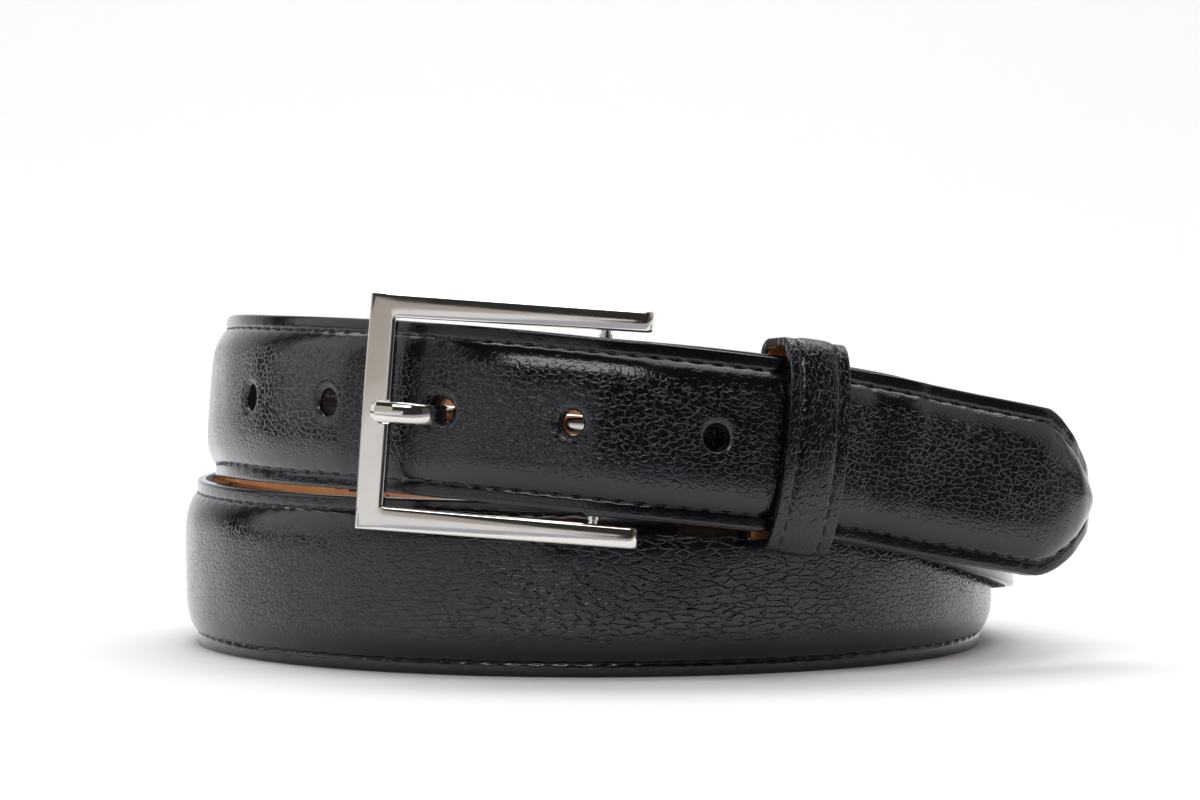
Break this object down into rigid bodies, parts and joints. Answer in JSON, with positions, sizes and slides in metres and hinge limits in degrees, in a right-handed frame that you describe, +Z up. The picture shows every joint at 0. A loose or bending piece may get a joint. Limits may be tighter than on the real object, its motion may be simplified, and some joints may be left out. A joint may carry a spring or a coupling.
{
  "type": "leather belt",
  "caption": "Padded leather dress belt with edge stitching, a square pronged buckle and a keeper loop, coiled and buckled to hold trousers at the waist.",
  "frame": {"origin": "Middle of the bounding box, on the surface the coil stands on.", "axes": "+Z up, across the strap; +X to the viewer's right along the buckled front, towards the strap's tip; +Y from the buckled front towards the back of the coil."},
  "size_m": [0.1718, 0.1712, 0.0691],
  "materials": {
    "black_leather": "black pebble-grain leather, glossy",
    "tan_leather": "smooth tan lining leather, semi-matt",
    "padding": "soft pale filler board, matt",
    "black_thread": "black waxed sewing thread",
    "polished_nickel": "polished nickel plate"
  },
  "bodies": {
    "strap": {"outer_leather": "black_leather", "lining": "tan_leather", "padding": "padding", "needle_thread_upper": "black_thread", "needle_thread_lower": "black_thread", "bobbin_thread_upper": "black_thread", "bobbin_thread_lower": "black_thread", "chape_thread_near": "black_thread", "chape_thread_far": "black_thread"},
    "tail": {"outer_leather_tail": "black_leather", "lining_tail": "tan_leather", "padding_tail": "padding", "needle_thread_upper_tail": "black_thread", "needle_thread_lower_tail": "black_thread", "bobbin_thread_upper_tail": "black_thread", "bobbin_thread_lower_tail": "black_thread"},
    "keeper": {"keeper_outer": "black_leather", "keeper_lining": "tan_leather", "keeper_thread_left": "black_thread", "keeper_thread_right": "black_thread"},
    "buckle": {"buckle_frame": "polished_nickel", "crossbar_pin": "polished_nickel"},
    "prong": {"prong": "polished_nickel"}
  },
  "joints": [
    {"name": "frame_pivot", "type": "hinge", "parent": "strap", "child": "buckle", "pos_m": [-0.00591, -0.07721, 0.04516], "axis": [0.0717, 0.0474, 0.9963], "range_deg": [-0.6, 0.6]},
    {"name": "prong_pivot", "type": "hinge", "parent": "buckle", "child": "prong", "pos_m": [-0.00591, -0.07721, 0.04516], "axis": [0.0717, 0.0474, 0.9963], "range_deg": [0, 1.6]},
    {"name": "keeper_slide", "type": "hinge", "parent": "strap", "child": "keeper", "pos_m": [-0.00676, 0.004, 0.03549], "axis": [0.097, 0.1222, 0.9878], "range_deg": [-4, 2]},
    {"name": "tail_flex", "type": "hinge", "parent": "strap", "child": "tail", "pos_m": [0.04267, -0.07087, 0.03958], "axis": [-0.1098, -0.1529, -0.9821], "range_deg": [0, 20], "stiffness_Nm_per_rad": 0.05}
  ]
}
